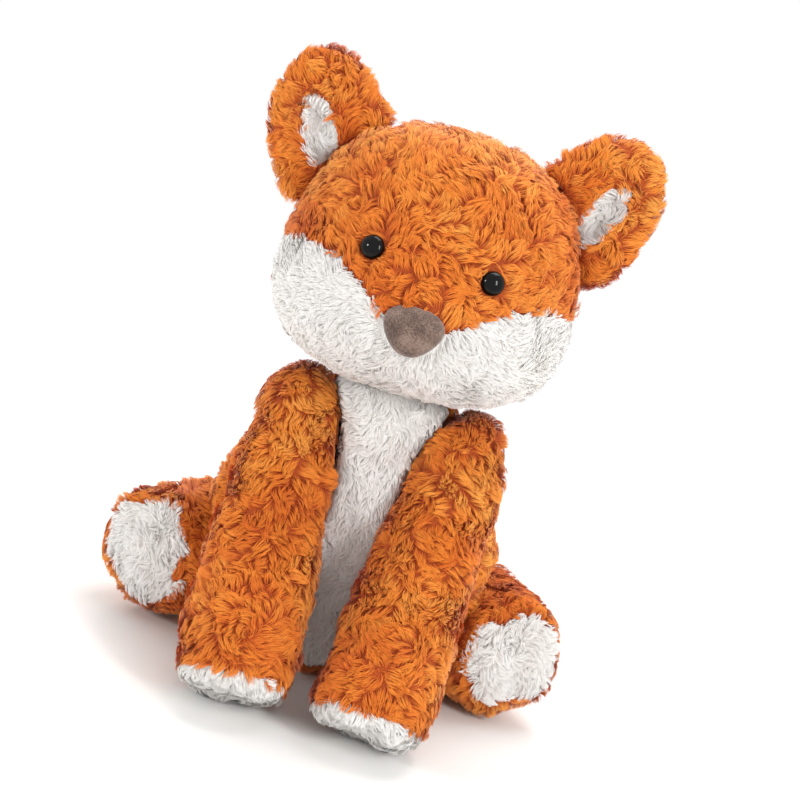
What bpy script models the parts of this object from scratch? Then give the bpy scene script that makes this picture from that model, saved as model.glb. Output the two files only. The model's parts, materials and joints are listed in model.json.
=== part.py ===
"""Stuffed fox that sits on its rump and faces -Y, in metres with +Z up and the table at zero.

The origin is on the table, under the middle of the body. The fox's left side is at +X.
"""

from math import acos, atan2, cos, pi, radians, sin, sqrt

import bmesh
import bpy
from mathutils import Matrix, Vector

# Cloth, gaps and cutters
CLOTH = 0.003  # pile cloth with its backing and the root of its pile
GAP = 0.0003  # between pieces that touch
SWING_GAP = 0.0009  # between the body and a leg that swings past it
MERGE = 0.00001
SEAM_GAP = 0.0006  # down the face, at the slanting seam of the cheeks
SEAT_FLAT = 0.0005  # how deep the table flattens a form that rests on it
OVERRUN = 0.03  # how far a cutter runs past what it cuts

# Fineness of the forms
HEAD_AROUND = 12
BODY_AROUND = 12
LIMB_AROUND = 10
INNER_AROUND = 8
LIMB_INNER_AROUND = 6
ROOT_AROUND = 6
BALL_MESH = (16, 10)  # segments and rings
NECK_MESH = (24, 12)
CUP_AROUND = 12
CUP_RINGS = 8
DOME_STEPS = 5
SMOOTH_STEPS = 1

# Body
BODY_WIDTH = 0.121
BODY_HEIGHT = 0.174
BODY_FRONT = 0.044  # reach of the belly ahead of the origin
BODY_BACK = 0.066  # reach of the rump behind the origin
BIB_WIDTH = 0.082  # at the neck
BIB_BOTTOM_HEIGHT = 0.010
BIB_DEPTH = 0.016  # the bib panel ends this far ahead of the origin
NECK_RADIUS = 0.036
NECK_HEIGHT = 0.149
NECK_FORWARD = 0.008

# Head, measured from its middle
HEAD_WIDTH = 0.148
HEAD_HEIGHT = 0.138
HEAD_FRONT = 0.064
HEAD_BACK = 0.060
MUZZLE_REACH = 0.011
MUZZLE_SHARPNESS = 6
HEAD_MIDDLE_HEIGHT = 0.2355
HEAD_FORWARD = 0.012
HEAD_TILT = radians(10)  # the face looks up by this much
CHEEK_BACK = 0.006  # the cheek panel ends this far behind the middle of the head

# Eyes
EYE_RADIUS = 0.006
EYE_DOME_HEIGHT = 0.0045
EYE_SPACING = 0.061
EYE_RISE = 0.0007  # above the middle of the head
SHANK_RADIUS = 0.0016
SHANK_LENGTH = 0.010
WASHER_RADIUS = 0.007
WASHER_THICKNESS = 0.0014
WASHER_BEHIND = 0.0009  # between the cloth and the washer
TURN_STEPS = 16

# Nose
NOSE_WIDTH = 0.031
NOSE_HEIGHT = 0.026
NOSE_THICKNESS = 0.009
NOSE_DROP = 0.0330
NOSE_SINK = 0.0015

# Ears
EAR_LENGTH = 0.061
EAR_WIDTH = 0.060
EAR_THICKNESS = 0.021
EAR_LEAN = radians(28)
EAR_SEAM_LEAN = radians(31)
EAR_OUT = 0.0585  # seam's middle, sideways from the middle of the head
EAR_UP = 0.033
EAR_BEHIND = 0.004
EAR_ROOT_LENGTH = 0.060
EAR_ROOT_RADIUS = 0.0095
EAR_LIFT = 0.0025  # the ear's blade stays this far off the head, for its fold
LINING_LIFT = 0.0035
CUP_WIDTH = 0.026
CUP_LENGTH = 0.044
CUP_DEPTH = 0.010
LINING = 0.0055
CUP_UP_SHARE = 0.33  # of the ear's length, from its seam
CUP_OUT_SHARE = 0.26  # of its half width

# Front legs
SHOULDER_OUT = 0.045
SHOULDER_HEIGHT = 0.1455
SHOULDER_FORWARD = 0.022
SHOULDER_RADIUS = 0.0215
PAW_RADIUS = 0.0305
FRONT_SLOPE = radians(30)
FRONT_LEAN = radians(4)
FRONT_SWING = radians(40)  # how far a front leg swings up
PAW_END = 0.006  # the rounding at the end of a front leg
PAW_SOLE = 0.0095  # from the seam of the sole to the end of the leg

# Hind legs
HIP_OUT = 0.054
HIP_HEIGHT = 0.0395
HIP_BEHIND = 0.026
HIP_RADIUS = 0.0395
FOOT_OUT = 0.104
FOOT_HEIGHT = 0.039
FOOT_FORWARD = 0.012
FOOT_RADIUS = 0.033
FOOT_YAW = radians(27)
FOOT_END = 0.006
FOOT_SOLE = 0.0035
HIND_LIFT = radians(25)  # how far a hind leg lifts

# Tail
TAIL_BEHIND = 0.062
TAIL_HEIGHT = 0.023
TAIL_ROOT_RADIUS = 0.017
TAIL_RADIUS = 0.0265
TAIL_LENGTH = 0.120
TAIL_RISE = 0.030
TAIL_TIP_LENGTH = 0.048
TAIL_WAG = radians(20)

# Stations down a form: share of the half height, half width, front and back, and of the muzzle
HEAD_SHARES = (
    (1.00, 0.00, 0.00, 0.00, 0.0),
    (0.95, 0.42, 0.40, 0.44, 0.0),
    (0.76, 0.76, 0.72, 0.77, 0.0),
    (0.43, 0.94, 0.92, 0.97, 0.0),
    (0.08, 1.01, 1.01, 1.05, 0.1),
    (-0.24, 1.06, 1.02, 1.02, 0.8),
    (-0.52, 1.04, 1.00, 0.92, 1.3),
    (-0.78, 0.89, 0.87, 0.76, 0.8),
    (-0.96, 0.56, 0.52, 0.48, 0.1),
    (-1.00, 0.00, 0.00, 0.00, 0.0),
)
BODY_SHARES = (
    (1.00, 0.00, 0.00, -0.06, 0.0),
    (0.97, 0.34, 0.50, 0.20, 0.0),
    (0.86, 0.70, 0.86, 0.46, 0.0),
    (0.70, 1.03, 0.96, 0.66, 0.0),
    (0.50, 1.34, 0.97, 0.90, 0.0),
    (0.27, 1.33, 0.90, 1.04, 0.0),
    (0.11, 1.15, 0.74, 1.04, 0.0),
    (0.00, 0.80, 0.40, 0.80, 0.0),
    (0.00, 0.00, 0.00, 0.20, 0.0),
)
NOSE_SHARES = (
    (1.00, 0.00, 0.00, 0.00, 0.0),
    (0.92, 0.62, 0.50, 0.50, 0.0),
    (0.55, 1.03, 0.95, 0.95, 0.0),
    (0.02, 1.02, 1.10, 1.00, 0.0),
    (-0.50, 0.74, 0.95, 0.95, 0.0),
    (-0.90, 0.38, 0.55, 0.55, 0.0),
    (-1.00, 0.00, 0.00, 0.00, 0.0),
)
# Stations up the ear: share of its length, sideways shift, half width and thickness
EAR_SHARES = (
    (-0.40, -0.10, 0.00, 0.00),
    (-0.33, -0.10, 0.55, 0.60),
    (-0.08, -0.10, 1.03, 1.00),
    (0.25, -0.09, 1.10, 1.06),
    (0.56, -0.08, 0.97, 1.02),
    (0.83, -0.07, 0.70, 0.94),
    (0.98, -0.06, 0.36, 0.62),
    (1.02, -0.06, 0.00, 0.00),
)
# Along a limb: the ball it hangs by, the leg and its end, as shares of run and of radius
BALL_SHARES = (-1.0, -0.86, -0.30)
FRONT_LEG_SHARES = ((0.24, 0.32), (0.64, 0.92))
HIND_LEG_SHARES = ((0.26, 0.10), (0.66, 0.85))
PAW_HEEL_SHARE = 0.67  # how far the paw's heel is below its middle
SOLE_SHARES = ((0.00, 1.03), (0.90, 0.84), (1.10, 0.00))
ROOT_SHARES = (-1.0, -0.80, 0.0, 0.80, 1.0)  # along the root of an ear
ROOM_SHARES = ((-0.30, 0.00), (0.10, 1.00))
SWING_SHARES = (0.0, 1.0)  # of a limb's travel, at which the body makes room for it
TAIL_SHARES = ((0.13, 0.46), (0.36, 0.94), (0.60, 1.05), (0.84, 0.74), (0.98, 0.34))
BALL_GAIN = 1.056  # what smoothing takes off the ball of a limb
# Seam between the brow and the cheeks: shares of the head's half width and half height
CHEEK_SEAM_SHARES = (
    (0.00, -0.47),
    (0.18, -0.43),
    (0.33, -0.33),
    (0.47, -0.215),
    (0.62, -0.145),
    (0.80, -0.105),
    (1.40, -0.07),
)
# Edge of the bib: shares of its half width and of the body's height
BIB_SHARES = (
    (0.52, 0.00),
    (0.66, 0.25),
    (0.66, 0.60),
    (0.80, 0.75),
    (1.00, 0.90),
    (1.10, 1.30),
)

ORANGE_PILE = ((0.74, 0.20, 0.022), 0.95)
WHITE_PILE = ((0.88, 0.86, 0.83), 0.95)
STUFFING_WHITE = ((0.85, 0.85, 0.84), 0.98)
EYE_BLACK = ((0.006, 0.006, 0.007), 0.06)
WASHER_WHITE = ((0.75, 0.75, 0.74), 0.45)
NOSE_SUEDE = ((0.20, 0.13, 0.10), 0.85)

SIDES = (("left", 1), ("right", -1))


def collection(name):
    made = bpy.data.collections.new(name)
    bpy.context.scene.collection.children.link(made)
    return made


def clear_scene():
    for old in list(bpy.data.objects):
        bpy.data.objects.remove(old, do_unlink=True)


def material(name, look):
    colour, roughness = look
    made = bpy.data.materials.new(name)
    made.use_nodes = True
    shader = made.node_tree.nodes["Principled BSDF"]
    shader.inputs["Base Color"].default_value = (*colour, 1)
    shader.inputs["Roughness"].default_value = roughness
    shader.inputs["Metallic"].default_value = 0
    made.diffuse_color = (*colour, 1)
    return made


def joint(name, location, parent=None, rotation=(0, 0, 0)):
    """An empty on a joint's axis, which its moving pieces hang from."""
    made = bpy.data.objects.new(name, None)
    made.location = location
    made.rotation_euler = rotation
    made.parent = parent
    PARTS.objects.link(made)
    return made


def cutter_frame(name, parent, rotation):
    """An empty at its parent's place, turned from it, for cutters to hang from."""
    made = bpy.data.objects.new(name, None)
    made.rotation_euler = rotation
    made.parent = parent
    CUTTERS.objects.link(made)
    return made


def piece(shape, name, look, parent=None):
    """Turns a form into a sub-part with its own material."""
    shape.name = name
    shape.data.name = name
    shape.data.materials.clear()
    shape.data.materials.append(material(name, look))
    shape.parent = parent
    PARTS.objects.link(shape)
    CUTTERS.objects.unlink(shape)
    shape.hide_render = False
    shape.display_type = "TEXTURED"
    return shape


def cutter_object(name, mesh, parent=None):
    made = bpy.data.objects.new(name, mesh)
    made.hide_render = True
    made.display_type = "WIRE"
    made.parent = parent
    CUTTERS.objects.link(made)
    return made


def boolean(target, other, operation):
    made = target.modifiers.new(operation.lower() + " " + other.name, "BOOLEAN")
    made.operation = operation
    made.solver = "EXACT"
    made.object = other


def cut(target, *cutters):
    for other in cutters:
        boolean(target, other, "DIFFERENCE")


def keep(target, other):
    boolean(target, other, "INTERSECT")


def join(target, other):
    boolean(target, other, "UNION")


def from_bmesh(name, shape, parent=None):
    bmesh.ops.recalc_face_normals(shape, faces=shape.faces)
    if shape.calc_volume(signed=True) < 0:
        bmesh.ops.reverse_faces(shape, faces=shape.faces)
    mesh = bpy.data.meshes.new(name)
    shape.to_mesh(mesh)
    shape.free()
    mesh.shade_smooth()
    return cutter_object(name, mesh, parent)


def straight(along, side=Vector((1, 0, 0))):
    """Stations on a straight run from the origin."""
    back = side.cross(along)

    def place(distance, shift=0):
        return along * distance + side * shift, side, back

    return place


def bent(start, middle, end, up):
    """Stations on a curve from start to end that leans towards middle, straight past both ends."""
    length = (middle - start).length + (end - middle).length

    def place(distance, shift=0):
        share = min(max(distance / length, 0), 1)
        first = start.lerp(middle, share)
        second = middle.lerp(end, share)
        along = (second - first).normalized()
        side = along.cross(up).normalized()
        back = side.cross(along)
        past = distance - share * length
        return first.lerp(second, share) + along * past + side * shift, side, back

    return place, length


def inset_stations(stations, inset):
    """The same profile, moved inwards along its own normal."""
    moved = []
    last = len(stations) - 1
    for index, station in enumerate(stations):
        distance, shift, half_width, front, back, muzzle = station
        before = stations[max(index - 1, 0)]
        after = stations[min(index + 1, last)]
        run = after[0] - before[0]
        rise = after[2] - before[2]
        if index in (0, last):
            along, outward = (-1 if index == 0 else 1), 0
        else:
            size = sqrt(run * run + rise * rise)
            along, outward = -rise / size, run / size
        step = inset * outward
        moved.append(
            (
                distance - inset * along,
                shift,
                half_width - step,
                front - step,
                back - step,
                muzzle,
            )
        )
    return moved


def soft_form(name, stations, place, around, inset=0.0, parent=None, steps=SMOOTH_STEPS):
    """A closed swelling form: a ball's rings moved to the stations, then smoothed."""
    stations = inset_stations(stations, inset)
    rings = len(stations) - 1
    gain = 6 / (4 + 2 * cos(2 * pi / around))
    shape = bmesh.new()
    bmesh.ops.create_uvsphere(shape, u_segments=around, v_segments=rings, radius=1)
    for vertex in shape.verts:
        polar = acos(max(-1.0, min(1.0, vertex.co.z)))
        index = round(polar * rings / pi)
        distance, shift, half_width, front, back, muzzle = stations[index]
        centre, side, rear = place(distance, shift)
        if index in (0, rings):
            vertex.co = centre + rear * (back - front) / 2
            continue
        turn = atan2(vertex.co.y, vertex.co.x)
        across = cos(turn) * half_width * gain
        deep = sin(turn) * (back if sin(turn) > 0 else front) * gain
        deep -= muzzle * max(0.0, -sin(turn)) ** MUZZLE_SHARPNESS
        vertex.co = centre + side * across + rear * deep
    made = from_bmesh(name, shape, parent)
    smooth = made.modifiers.new("smooth", "SUBSURF")
    smooth.levels = steps
    smooth.render_levels = steps
    flats = made.modifiers.new("flats", "TRIANGULATE")
    flats.quad_method = "FIXED"
    return made


def socket_ball(name, radius, location, parent, fineness=BALL_MESH):
    """A ball whose flats stay outside the radius."""
    around, rings = fineness
    flat_share = cos(pi / around) * cos(pi / (2 * rings))
    return ball(name, radius / flat_share, location, parent, fineness)


def ball(name, radius, location, parent=None, fineness=BALL_MESH):
    """A ball with its corners on the radius."""
    around, rings = fineness
    shape = bmesh.new()
    bmesh.ops.create_uvsphere(shape, u_segments=around, v_segments=rings, radius=radius)
    bmesh.ops.translate(shape, verts=shape.verts, vec=location)
    return from_bmesh(name, shape, parent)


def block(name, low, high, parent=None):
    """A box between two corners."""
    shape = bmesh.new()
    bmesh.ops.create_cube(shape, size=1)
    low = Vector(low)
    high = Vector(high)
    for vertex in shape.verts:
        share = vertex.co + Vector((0.5, 0.5, 0.5))
        vertex.co = low + Vector(s * d for s, d in zip(share, high - low))
    return from_bmesh(name, shape, parent)


def slab(name, outline, near, far, parent=None):
    """A flat outline in X and Z, extruded along Y from near to far."""
    curve = bpy.data.curves.new(name, "CURVE")
    curve.dimensions = "2D"
    curve.fill_mode = "BOTH"
    curve.extrude = (far - near) / 2
    spline = curve.splines.new("POLY")
    spline.points.add(len(outline) - 1)
    for point, (x, z) in zip(spline.points, outline):
        point.co = (x, z, 0, 1)
    spline.use_cyclic_u = True
    drawn = bpy.data.objects.new(name, curve)
    CUTTERS.objects.link(drawn)
    graph = bpy.context.evaluated_depsgraph_get()
    mesh = bpy.data.meshes.new_from_object(drawn.evaluated_get(graph))
    bpy.data.objects.remove(drawn)
    shape = bmesh.new()
    shape.from_mesh(mesh)
    bpy.data.meshes.remove(mesh)
    bmesh.ops.remove_doubles(shape, verts=shape.verts, dist=MERGE)
    upright = Matrix.Translation((0, (near + far) / 2, 0)) @ Matrix.Rotation(
        pi / 2, 4, "X"
    )
    bmesh.ops.transform(shape, matrix=upright, verts=shape.verts)
    return from_bmesh(name, shape, parent)


def turned(name, profile, parent=None):
    """A profile of (radius, distance ahead) turned about its own Y axis."""
    mesh = bpy.data.meshes.new(name)
    points = [(radius, -ahead, 0) for radius, ahead in reversed(profile)]
    edges = [(i, i + 1) for i in range(len(points) - 1)]
    if profile[0][0] > 0:
        edges.append((len(points) - 1, 0))
    mesh.from_pydata(points, edges, [])
    made = cutter_object(name, mesh, parent)
    screw = made.modifiers.new("turn", "SCREW")
    screw.axis = "Y"
    screw.steps = TURN_STEPS
    screw.render_steps = TURN_STEPS
    screw.use_merge_vertices = True
    screw.merge_threshold = MERGE
    screw.use_smooth_shade = True
    return made


def surface_point(form, start, direction):
    """Where a ray meets a form, and the way out of it there, in the form's own frame."""
    bpy.context.view_layer.update()
    graph = bpy.context.evaluated_depsgraph_get()
    hit, point, normal, _ = form.evaluated_get(graph).ray_cast(start, direction)
    if not hit:
        raise ValueError("the ray misses " + form.name)
    return point, normal


def scaled_stations(shares, half_height, half_width, front, back, muzzle):
    """Stations measured down from the top of a form, with its middle at the frame's origin."""
    return [
        (-z * half_height, 0, w * half_width, f * front, b * back, m * muzzle)
        for z, w, f, b, m in shares
    ]


def head_stations():
    return scaled_stations(
        HEAD_SHARES,
        HEAD_HEIGHT / 2,
        HEAD_WIDTH / 2,
        HEAD_FRONT,
        HEAD_BACK,
        MUZZLE_REACH,
    )


def head_form(name, inset, around, parent):
    return soft_form(
        name,
        head_stations(),
        straight(Vector((0, 0, -1))),
        around,
        inset,
        parent,
    )


def body_stations():
    stations = []
    last = len(BODY_SHARES) - 1
    for index, (z, w, f, b, m) in enumerate(BODY_SHARES):
        height = z * BODY_HEIGHT
        if index >= last - 1:
            height = -SEAT_FLAT
        stations.append(
            (-height, 0, w * BODY_WIDTH / 2, f * BODY_FRONT, b * BODY_BACK, m)
        )
    return stations


def body_form(name, inset, around):
    return soft_form(
        name, body_stations(), straight(Vector((0, 0, -1))), around, inset
    )


def cheek_outline(seam):
    half_width = HEAD_WIDTH / 2
    half_height = HEAD_HEIGHT / 2
    side = [
        (x * half_width, z * half_height - seam) for x, z in CHEEK_SEAM_SHARES
    ]
    low = -half_height - OVERRUN
    right = [*side, (side[-1][0], low)]
    left = [(-x, z) for x, z in right[:0:-1]]
    return right + left


def bib_outline(seam):
    half_width = BIB_WIDTH / 2
    side = [(x * half_width - seam, z * BODY_HEIGHT) for x, z in BIB_SHARES]
    side[0] = (side[0][0], BIB_BOTTOM_HEIGHT + seam)
    return side + [(-x, z) for x, z in reversed(side)]


def leg_stations(ball_radius, end_radius, length, rounding, shares):
    """A ball round the origin that runs on into a leg with a rounded end."""
    stations = []
    for share in BALL_SHARES:
        radius = BALL_GAIN * ball_radius * sqrt(max(0, 1 - share * share))
        stations.append((BALL_GAIN * share * ball_radius, radius))
    run = length - rounding
    swell = end_radius - ball_radius
    for share, part in shares:
        stations.append((share * run, ball_radius + part * swell))
    for share, part in SOLE_SHARES:
        stations.append((run + share * rounding, part * end_radius))
    return [(d, 0, r, r, r, 0) for d, r in stations]


def room_form(name, stations, place, ball_radius, parent):
    """The cage of a limb past its ball, which holds the smoothed limb with room to spare."""
    past_ball = [(s * ball_radius, 0, *(r * ball_radius,) * 3, 0) for s, r in ROOM_SHARES]
    past_ball += stations[len(BALL_SHARES):]
    return soft_form(name, past_ball, place, LIMB_AROUND, -SWING_GAP, parent, 0)


def limb(name, end_name, stations, place, sole_at, parent, table):
    """Sleeve, end and stuffing of a limb, as its own sub-parts."""
    inner = soft_form(
        name + "_cavity", stations, place, LIMB_INNER_AROUND, CLOTH, parent
    )
    sleeve = soft_form(
        name + "_sleeve", stations, place, LIMB_AROUND, 0.0, parent
    )
    sole = soft_form(name + "_sole", stations, place, LIMB_AROUND, 0.0, parent)
    stuffing = soft_form(
        name + "_stuffing",
        stations,
        place,
        LIMB_INNER_AROUND,
        CLOTH + GAP,
        parent,
    )
    past_seam = end_block(name + "_past_seam", place, sole_at, parent)
    sole_side = end_block(name + "_sole_side", place, sole_at + GAP, parent)
    cut(sleeve, inner, past_seam)
    cut(sole, inner)
    keep(sole, sole_side)
    cut(sleeve, table)
    cut(sole, table)
    piece(sleeve, name + "_sleeve", ORANGE_PILE, parent)
    piece(sole, name + "_" + end_name, WHITE_PILE, parent)
    piece(stuffing, name + "_stuffing", STUFFING_WHITE, parent)


def rooms(name, stations, place, ball_radius, pivot, rest, turns):
    """The room that a limb takes up in the body, at rest and when its joint is turned."""
    made = []
    for index, turn in enumerate(turns):
        label = name + "_turn_" + str(index)
        turned_pivot = cutter_frame(label + "_pivot", pivot, turn)
        frame = cutter_frame(label + "_frame", turned_pivot, rest)
        made.append(room_form(label, stations, place, ball_radius, frame))
    return made


def end_block(name, place, distance, parent):
    """A block that holds all of a limb past a distance along its run."""
    centre, side, back = place(distance)
    along = side.cross(back)
    if (place(distance + OVERRUN)[0] - centre).dot(along) < 0:
        along = -along
    shape = bmesh.new()
    bmesh.ops.create_cube(shape, size=2)
    half = HIP_RADIUS + OVERRUN
    for vertex in shape.verts:
        deep = half * (vertex.co.z + 1) / 2
        vertex.co = (
            centre + side * vertex.co.x * half + back * vertex.co.y * half + along * deep
        )
    return from_bmesh(name, shape, parent)


def table_block():
    reach = BODY_WIDTH + TAIL_LENGTH + OVERRUN
    return block("under_table", (-reach, -reach, -OVERRUN), (reach, reach, 0))


def build_body(sockets, tail_room, table):
    outer = [body_form(n, 0.0, BODY_AROUND) for n in ("back_panel", "bib_panel")]
    inner = body_form("body_cavity", CLOTH, INNER_AROUND)
    stuffing = body_form("body_stuffing", CLOTH + GAP, INNER_AROUND)
    neck = Vector((0, -NECK_FORWARD, NECK_HEIGHT))
    skin_ball = ball("neck_skin", NECK_RADIUS, neck, None, NECK_MESH)
    hollow_ball = ball("neck_hollow", NECK_RADIUS - CLOTH, neck)
    stuffing_ball = ball("neck_stuffing", NECK_RADIUS - CLOTH - GAP, neck)
    join(inner, hollow_ball)
    join(stuffing, stuffing_ball)
    near = -BODY_FRONT - OVERRUN
    region = slab("bib_region", bib_outline(0), near, -BIB_DEPTH)
    inner_region = slab("bib_inner_region", bib_outline(GAP), near, -BIB_DEPTH - GAP)
    for panel in outer:
        join(panel, skin_ball)
        cut(panel, inner, table, *sockets, tail_room)
    cut(outer[0], region)
    keep(outer[1], inner_region)
    cut(stuffing, *sockets)
    piece(outer[0], "back_panel", ORANGE_PILE)
    piece(outer[1], "bib_panel", WHITE_PILE)
    piece(stuffing, "body_stuffing", STUFFING_WHITE)


def build_head():
    neck = joint("neck_joint", (0, -NECK_FORWARD, NECK_HEIGHT))
    middle = (0, NECK_FORWARD - HEAD_FORWARD, HEAD_MIDDLE_HEIGHT - NECK_HEIGHT)
    frame = joint("head_frame", middle, neck, (-HEAD_TILT, 0, 0))
    crown = head_form("crown_panel", 0.0, HEAD_AROUND, frame)
    cheek = head_form("cheek_panel", 0.0, HEAD_AROUND, frame)
    inner = head_form("head_cavity", CLOTH, INNER_AROUND, frame)
    stuffing = head_form("head_stuffing", CLOTH + GAP, INNER_AROUND, frame)
    seat = head_form("head_seat", -GAP, HEAD_AROUND, frame)
    neck_ball = socket_ball(
        "neck_socket", NECK_RADIUS + GAP, Vector(), neck, NECK_MESH
    )
    near = -HEAD_FRONT - MUZZLE_REACH - OVERRUN
    region = slab("cheek_region", cheek_outline(0), near, CHEEK_BACK, frame)
    inner_region = slab(
        "cheek_inner_region",
        cheek_outline(SEAM_GAP),
        near,
        CHEEK_BACK - GAP,
        frame,
    )
    cut(crown, inner, neck_ball, region)
    cut(cheek, inner, neck_ball)
    keep(cheek, inner_region)
    cut(stuffing, neck_ball)
    build_nose(seat, frame)
    for side, sign in SIDES:
        build_eye(side, sign, seat, frame, crown, stuffing)
        build_ear(side, sign, seat, frame, crown, cheek, stuffing)
    piece(crown, "crown_panel", ORANGE_PILE, frame)
    piece(cheek, "cheek_panel", WHITE_PILE, frame)
    piece(stuffing, "head_stuffing", STUFFING_WHITE, frame)


def build_nose(seat, frame):
    start = Vector((0, -2 * HEAD_FRONT, -NOSE_DROP))
    point, normal = surface_point(seat, start, Vector((0, 1, 0)))
    stations = scaled_stations(
        NOSE_SHARES,
        NOSE_HEIGHT / 2,
        NOSE_WIDTH / 2,
        NOSE_THICKNESS,
        NOSE_THICKNESS,
        0,
    )
    nose = soft_form(
        "nose", stations, straight(Vector((0, 0, -1))), LIMB_AROUND, 0.0, frame
    )
    nose.location = point + Vector((0, NOSE_SINK, 0))
    nose.rotation_euler = (atan2(normal.z, -normal.y) / 2, 0, 0)
    cut(nose, seat)
    piece(nose, "nose", NOSE_SUEDE, frame)


def build_eye(side, sign, seat, frame, crown, stuffing):
    start = Vector((sign * EYE_SPACING / 2, -2 * HEAD_FRONT, EYE_RISE))
    point, normal = surface_point(seat, start, Vector((0, 1, 0)))
    turn = normal.to_track_quat("-Y", "Z").to_euler()
    dome = []
    for index in range(DOME_STEPS + 1):
        angle = pi / 2 * index / DOME_STEPS
        dome.append((EYE_RADIUS * sin(angle), GAP + EYE_DOME_HEIGHT * cos(angle)))
    shank = [(SHANK_RADIUS, GAP), (SHANK_RADIUS, -SHANK_LENGTH), (0, -SHANK_LENGTH)]
    eye = turned("eye_" + side, [*dome, *shank], frame)
    washer_front = -CLOTH - WASHER_BEHIND
    washer_back = washer_front - WASHER_THICKNESS
    inner = SHANK_RADIUS + GAP
    washer = turned(
        "eye_washer_" + side,
        [
            (inner, washer_front),
            (WASHER_RADIUS, washer_front),
            (WASHER_RADIUS, washer_back),
            (inner, washer_back),
        ],
        frame,
    )
    pocket = turned(
        "washer_pocket_" + side,
        [
            (0, washer_front + GAP),
            (WASHER_RADIUS + GAP, washer_front + GAP),
            (WASHER_RADIUS + GAP, washer_back - GAP),
            (0, washer_back - GAP),
        ],
        frame,
    )
    recess = turned(
        "washer_recess_" + side,
        [
            (0, EYE_DOME_HEIGHT),
            (WASHER_RADIUS + GAP, EYE_DOME_HEIGHT),
            (WASHER_RADIUS + GAP, washer_back - GAP),
            (0, washer_back - GAP),
        ],
        frame,
    )
    bore = turned(
        "shank_bore_" + side,
        [
            (0, EYE_DOME_HEIGHT),
            (inner, EYE_DOME_HEIGHT),
            (inner, -SHANK_LENGTH - GAP),
            (0, -SHANK_LENGTH - GAP),
        ],
        frame,
    )
    for made in (eye, washer, pocket, recess, bore):
        made.location = point
        made.rotation_euler = turn
    cut(crown, pocket, bore)
    cut(stuffing, recess, bore)
    piece(eye, "eye_" + side, EYE_BLACK, frame)
    piece(washer, "eye_washer_" + side, WASHER_WHITE, frame)


def build_ear(side, sign, seat, frame, crown, cheek, stuffing):
    root = (sign * EAR_OUT, EAR_BEHIND, EAR_UP)
    hinge = joint("ear_joint_" + side, root, frame)
    along = Vector((sign * sin(EAR_LEAN), 0, cos(EAR_LEAN)))
    inward = Vector((-sign * cos(EAR_LEAN), 0, sin(EAR_LEAN)))
    seam = Vector((-sign * sin(EAR_SEAM_LEAN), 0, cos(EAR_SEAM_LEAN)))
    half_width = EAR_WIDTH / 2
    half_thick = EAR_THICKNESS / 2
    stations = []
    for up, shift, wide, thick in EAR_SHARES:
        depth = thick * half_thick
        distance = up * EAR_LENGTH
        stations.append((distance, shift * half_width, wide * half_width, depth, depth, 0))
    place = straight(along, inward)
    ear = soft_form("ear_" + side, stations, place, LIMB_AROUND, 0.0, hinge)
    clear = head_form("ear_clearance_" + side, -EAR_LIFT, HEAD_AROUND, frame)
    cut(ear, clear)
    half = EAR_ROOT_LENGTH / 2
    root_form = soft_form(
        "ear_root_" + side,
        spindle(half, EAR_ROOT_RADIUS),
        straight(seam, Vector((0, 1, 0))),
        ROOT_AROUND,
        0.0,
        hinge,
    )
    groove = soft_form(
        "ear_groove_" + side,
        spindle(half, EAR_ROOT_RADIUS),
        straight(seam, Vector((0, 1, 0))),
        ROOT_AROUND,
        -GAP,
        hinge,
    )
    join(ear, root_form)
    middle = along * EAR_LENGTH * CUP_UP_SHARE - inward * half_width * CUP_OUT_SHARE
    middle -= Vector((0, half_thick, 0))
    radii = (CUP_WIDTH / 2, CUP_DEPTH, CUP_LENGTH / 2)
    cup = ellipsoid("ear_cup_" + side, radii, middle, along, 0.0, hinge)
    lining = ellipsoid("ear_lining_" + side, radii, middle, along, GAP, hinge)
    hollow_middle = middle - Vector((0, LINING, 0))
    hollow = ellipsoid("ear_hollow_" + side, radii, hollow_middle, along, GAP, hinge)
    cut(ear, cup)
    lining_clear = head_form("lining_clearance_" + side, -LINING_LIFT, HEAD_AROUND, frame)
    cut(lining, hollow, lining_clear)
    cut(crown, groove)
    cut(cheek, groove)
    cut(stuffing, groove)
    piece(ear, "ear_" + side, ORANGE_PILE, hinge)
    piece(lining, "ear_lining_" + side, WHITE_PILE, hinge)


def spindle(half, radius):
    """Stations of a rounded root that is the same all round its seam."""
    stations = []
    for share in ROOT_SHARES:
        size = radius * sqrt(max(0, 1 - share * share))
        stations.append((share * half, 0, size, size, size, 0))
    return stations


def ellipsoid(name, radii, middle, along, inset, parent):
    shape = bmesh.new()
    bmesh.ops.create_uvsphere(
        shape, u_segments=CUP_AROUND, v_segments=CUP_RINGS, radius=1
    )
    turn = along.to_track_quat("Z", "Y")
    for vertex in shape.verts:
        reach = Vector(c * (r - inset) for c, r in zip(vertex.co, radii))
        vertex.co = middle + turn @ reach
    return from_bmesh(name, shape, parent)


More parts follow.
